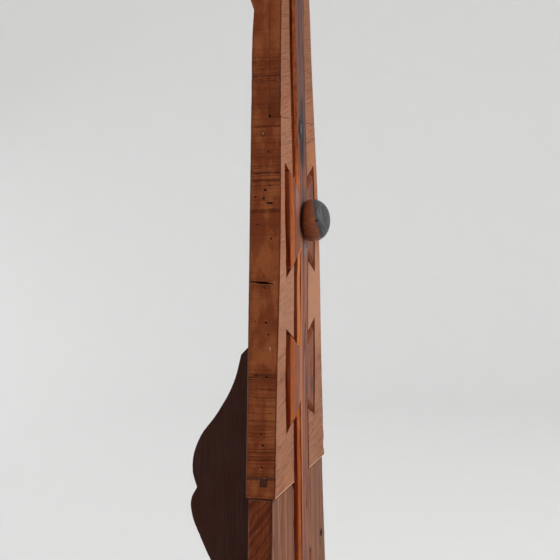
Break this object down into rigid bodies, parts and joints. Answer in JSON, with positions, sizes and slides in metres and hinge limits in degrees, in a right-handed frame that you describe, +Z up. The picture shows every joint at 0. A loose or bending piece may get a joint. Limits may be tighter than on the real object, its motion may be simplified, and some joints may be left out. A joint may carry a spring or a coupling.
{
  "type": "carved tapered timber upright",
  "caption": "Tapered timber upright with a raised centre rail, bow-tie carving, one turning wooden knob and a scroll-cut keel behind it as a foot.",
  "frame": {"origin": "on the ground at the middle of the lower block's bottom face", "axes": "+Z up along the board, -Y out of the carved front, +X across the width"},
  "size_m": [0.313, 0.1757, 1.01],
  "materials": {
    "cross_grain_timber": "planed, aged, end grain on the side faces",
    "upright_timber": "weathered, upright grain",
    "rail_timber": "weathered grey-brown top, orange cut bevels",
    "keel_timber": "very dark stained",
    "knob_timber": "turned, brown with a dark stained cap",
    "peg_timber": "whittled hardwood",
    "plug_timber": "dark end grain",
    "pin_iron": "old iron wire"
  },
  "bodies": {
    "board": {"lower_block": "upright_timber", "middle_block": "cross_grain_timber", "upper_block": "cross_grain_timber", "centre_rail": "rail_timber", "rear_keel": "keel_timber", "side_plug": "plug_timber", "keel_dowel_1": "peg_timber", "keel_dowel_2": "peg_timber", "keel_dowel_3": "peg_timber", "keel_dowel_4": "peg_timber", "keel_dowel_5": "peg_timber", "rail_peg_1": "peg_timber", "rail_peg_2": "peg_timber", "rail_peg_3": "peg_timber", "rail_peg_4": "peg_timber", "rail_peg_5": "peg_timber", "rail_peg_6": "peg_timber", "rail_peg_7": "peg_timber", "lap_peg_1": "peg_timber", "lap_peg_2": "peg_timber", "lap_peg_3": "peg_timber", "lap_peg_4": "peg_timber", "seam_dowel_1": "peg_timber", "seam_dowel_2": "peg_timber"},
    "turning_knob": {"knob": "knob_timber", "knob_spindle": "peg_timber", "spindle_collar": "peg_timber", "knob_pin": "pin_iron", "collar_pin": "pin_iron"}
  },
  "joints": [
    {"name": "knob_turn", "type": "hinge", "parent": "board", "child": "turning_knob", "pos_m": [0, 0, 0.6665], "axis": [0, 1, 0], "continuous": true}
  ]
}
